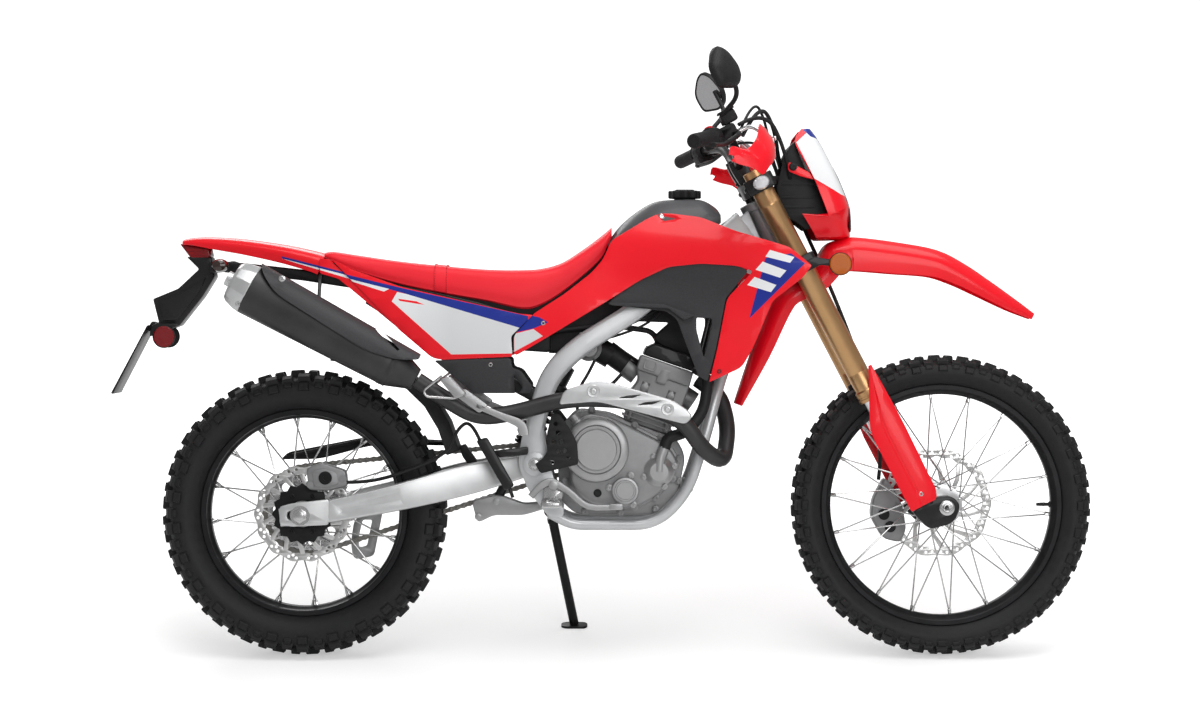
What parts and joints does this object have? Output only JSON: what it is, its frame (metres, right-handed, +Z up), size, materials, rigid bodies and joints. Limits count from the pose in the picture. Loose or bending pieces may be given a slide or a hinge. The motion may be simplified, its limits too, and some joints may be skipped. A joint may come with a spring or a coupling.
{
  "type": "dual sport motorcycle",
  "caption": "Single-cylinder dual sport motorcycle with steering fork, two spoked knobby wheels, chain drive and a side stand it leans on.",
  "frame": {"origin": "bottom centre of the bounding box of the machine parked on its side stand, on the ground", "axes": "+X forward along the wheelbase, +Y to the rider's left, towards which it leans by 10 degrees, +Z up"},
  "size_m": [2.2316, 0.8406, 1.3986],
  "materials": {
    "silver_paint": "satin silver paint",
    "engine_grey": "cast metal, grey paint",
    "black_metal": "black enamel",
    "steel": "bare steel",
    "alloy": "bare alloy",
    "red_gloss": "gloss red moulding",
    "black_plastic": "grained black moulding",
    "gold_anodised": "gold anodised",
    "chrome": "hard chrome",
    "saddle": "red vinyl",
    "rubber": "black rubber",
    "tyre": "black rubber",
    "clear": "clear lens",
    "red_lens": "red lens"
  },
  "bodies": {
    "chassis": {"frame": "silver_paint", "crankcase": "engine_grey", "engine_covers": "engine_grey", "cylinder": "engine_grey", "head_cover": "black_metal", "exhaust_pipe": "black_metal", "heat_shield": "steel", "silencer": "alloy", "silencer_guard": "black_plastic", "swingarm": "silver_paint", "axles": "steel", "rear_brake": "engine_grey", "shock": "black_metal", "seat": "saddle", "fuel_tank": "black_plastic", "fuel_cap": "black_plastic", "shrouds": "red_gloss", "louvres": "black_plastic", "side_panels": "red_gloss", "lower_covers": "black_plastic", "tail_cowl": "red_gloss", "radiators": "alloy", "intake": "black_metal", "rear_fender": "black_plastic", "hugger": "black_plastic", "rear_lamps": "red_lens", "foot_controls": "black_metal", "chain": "steel", "chain_guard": "black_plastic", "front_sprocket": "steel"},
    "steering": {"triple_clamps": "silver_paint", "fork_tubes": "gold_anodised", "fork_legs": "chrome", "front_axle": "black_metal", "fork_guards": "red_gloss", "front_caliper": "black_metal", "handlebar": "black_metal", "grips": "rubber", "controls": "black_plastic", "hand_guards": "red_gloss", "mirrors": "black_plastic", "headlight_cowl": "red_gloss", "front_lamps": "clear", "front_fender": "red_gloss", "cables": "black_plastic"},
    "front_wheel": {"front_tyre": "tyre", "front_rim": "black_metal", "front_spokes": "steel", "front_disc": "steel"},
    "rear_wheel": {"rear_tyre": "tyre", "rear_rim": "black_metal", "rear_spokes": "steel", "rear_disc": "steel", "rear_sprocket": "steel"},
    "side_stand": {"side_stand": "black_metal"}
  },
  "joints": [
    {"name": "steering_turn", "type": "hinge", "parent": "chassis", "child": "steering", "pos_m": [0.33567, -0.01399, 1.03627], "axis": [-0.4617, 0.1571, 0.873], "range_deg": [-44, 44]},
    {"name": "front_wheel_turn", "type": "hinge", "parent": "steering", "child": "front_wheel", "pos_m": [0.77323, -0.13938, 0.33935], "axis": [0, 0.9842, -0.1771], "continuous": true},
    {"name": "rear_wheel_turn", "type": "hinge", "parent": "chassis", "child": "rear_wheel", "pos_m": [-0.67977, -0.14238, 0.32279], "axis": [0, 0.9842, -0.1771], "continuous": true},
    {"name": "stand_swing", "type": "hinge", "parent": "chassis", "child": "side_stand", "pos_m": [-0.11978, -0.01862, 0.29338], "axis": [0.2212, 0.957, 0.1878], "range_deg": [0, 100]}
  ]
}
